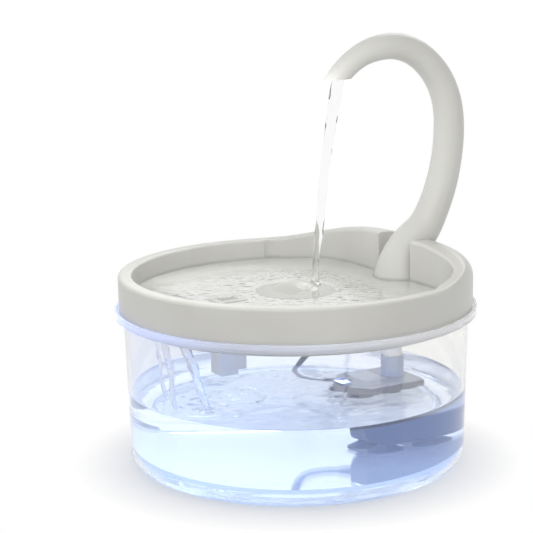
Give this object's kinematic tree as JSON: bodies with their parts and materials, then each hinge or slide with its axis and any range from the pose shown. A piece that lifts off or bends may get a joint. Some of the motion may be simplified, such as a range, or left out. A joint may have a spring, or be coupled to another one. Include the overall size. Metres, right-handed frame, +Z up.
{
  "type": "pet water fountain",
  "caption": "Round pet drinking fountain: clear water tank, drop-in drinking tray with a raised rear shoulder, curved swan-neck spout, submerged pump with a lamp, and a low-voltage cable.",
  "frame": {"origin": "centre of the tank's underside, on the table", "axes": "+Z up, +Y towards the neck at the rear, +X to the right seen from the front"},
  "size_m": [0.2363, 0.2119, 0.2348],
  "materials": {
    "clear_tank": "clear, polished",
    "tray_plastic": "warm light grey, satin",
    "clear_hose": "translucent silicone",
    "black_rubber": "matte black",
    "soft_cuff": "translucent, satin",
    "cassette_plastic": "white, satin",
    "carbon": "black granules",
    "filter_foam": "open-cell foam",
    "pump_plastic": "dark slate, fine texture",
    "plate_plastic": "light grey label plate",
    "iron": "laminated iron",
    "copper": "enamelled copper",
    "ferrite": "sintered, dark grey",
    "wheel_plastic": "white",
    "ceramic": "white ceramic",
    "board_green": "circuit board with white lamps",
    "lamp_window": "clear, lit blue-white",
    "cable_jacket": "light grey jacket",
    "cup_rubber": "dark soft rubber",
    "tie_plastic": "dark grey strap",
    "sleeve_plastic": "dark grey-blue",
    "plug_steel": "nickel-plated"
  },
  "bodies": {
    "tank": {"tank": "clear_tank", "pump_housing": "pump_plastic", "pump_top_plate": "plate_plastic", "pump_volute": "pump_plastic", "inlet_strainer": "pump_plastic", "inlet_foam": "filter_foam", "motor_yoke": "iron", "motor_coil": "copper", "rotor_shaft": "ceramic", "shaft_bushes": "black_rubber", "led_board": "board_green", "led_window": "lamp_window", "cable_gland": "cable_jacket", "suction_cups": "cup_rubber", "usb_cable_lead": "cable_jacket", "cable_sleeve": "sleeve_plastic", "usb_cable_coil": "cable_jacket", "cable_tie": "tie_plastic", "usb_cable_tail": "cable_jacket", "usb_plug_body": "cable_jacket", "usb_plug_shell": "plug_steel"},
    "rotor": {"rotor_magnet": "ferrite", "impeller_wheel": "wheel_plastic"},
    "tray": {"tray": "tray_plastic", "riser_tube": "tray_plastic", "riser_cuff": "soft_cuff"},
    "filter": {"filter_cassette": "cassette_plastic", "filter_carbon": "carbon", "filter_foam": "filter_foam"},
    "dome": {"splash_dome": "tray_plastic"},
    "spout": {"neck_shell_left": "tray_plastic", "neck_shell_right": "tray_plastic", "outlet_nozzle": "tray_plastic", "neck_hose": "clear_hose", "neck_spigot": "tray_plastic", "spigot_seal": "black_rubber"}
  },
  "joints": [
    {"name": "tray_lift", "type": "slide", "parent": "tank", "child": "tray", "axis": [0, 0, 1], "range_m": [0, 0.12]},
    {"name": "spout_lift", "type": "slide", "parent": "tray", "child": "spout", "axis": [0, 0, 1], "range_m": [0, 0.05]},
    {"name": "dome_lift", "type": "slide", "parent": "tray", "child": "dome", "axis": [0, 0, 1], "range_m": [0, 0.03]},
    {"name": "filter_lift", "type": "slide", "parent": "tray", "child": "filter", "axis": [0, 0, 1], "range_m": [0, 0.045]},
    {"name": "rotor_spin", "type": "hinge", "parent": "tank", "child": "rotor", "pos_m": [0, 0.055, 0.0206], "axis": [0, 1, 0], "continuous": true}
  ]
}
